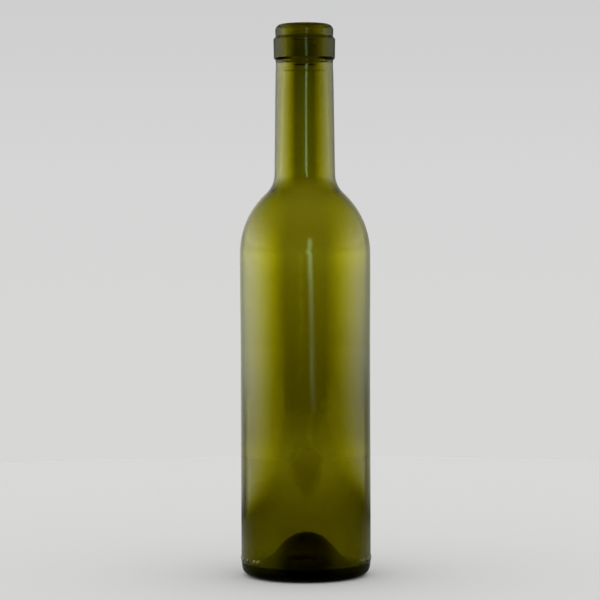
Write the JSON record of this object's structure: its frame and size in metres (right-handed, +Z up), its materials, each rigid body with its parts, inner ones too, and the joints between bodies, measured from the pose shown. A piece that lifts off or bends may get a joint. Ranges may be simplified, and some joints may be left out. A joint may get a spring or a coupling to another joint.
{
  "type": "wine bottle",
  "caption": "Empty green glass wine bottle with round shoulders, straight body, tapered neck, cork finish with a flat ring, and a domed push-up base.",
  "frame": {"origin": "centre of the ring that the bottle stands on, in the resting plane", "axes": "+Z up the bottle's axis to the mouth; the bottle is round, so X and Y are free, with -Y towards the viewer of the reference view"},
  "size_m": [0.06, 0.06, 0.253],
  "materials": {
    "green_glass": "clear olive green container glass, smooth and glossy from the mould"
  },
  "bodies": {
    "root": {"bottle": "green_glass"}
  },
  "joints": []
}
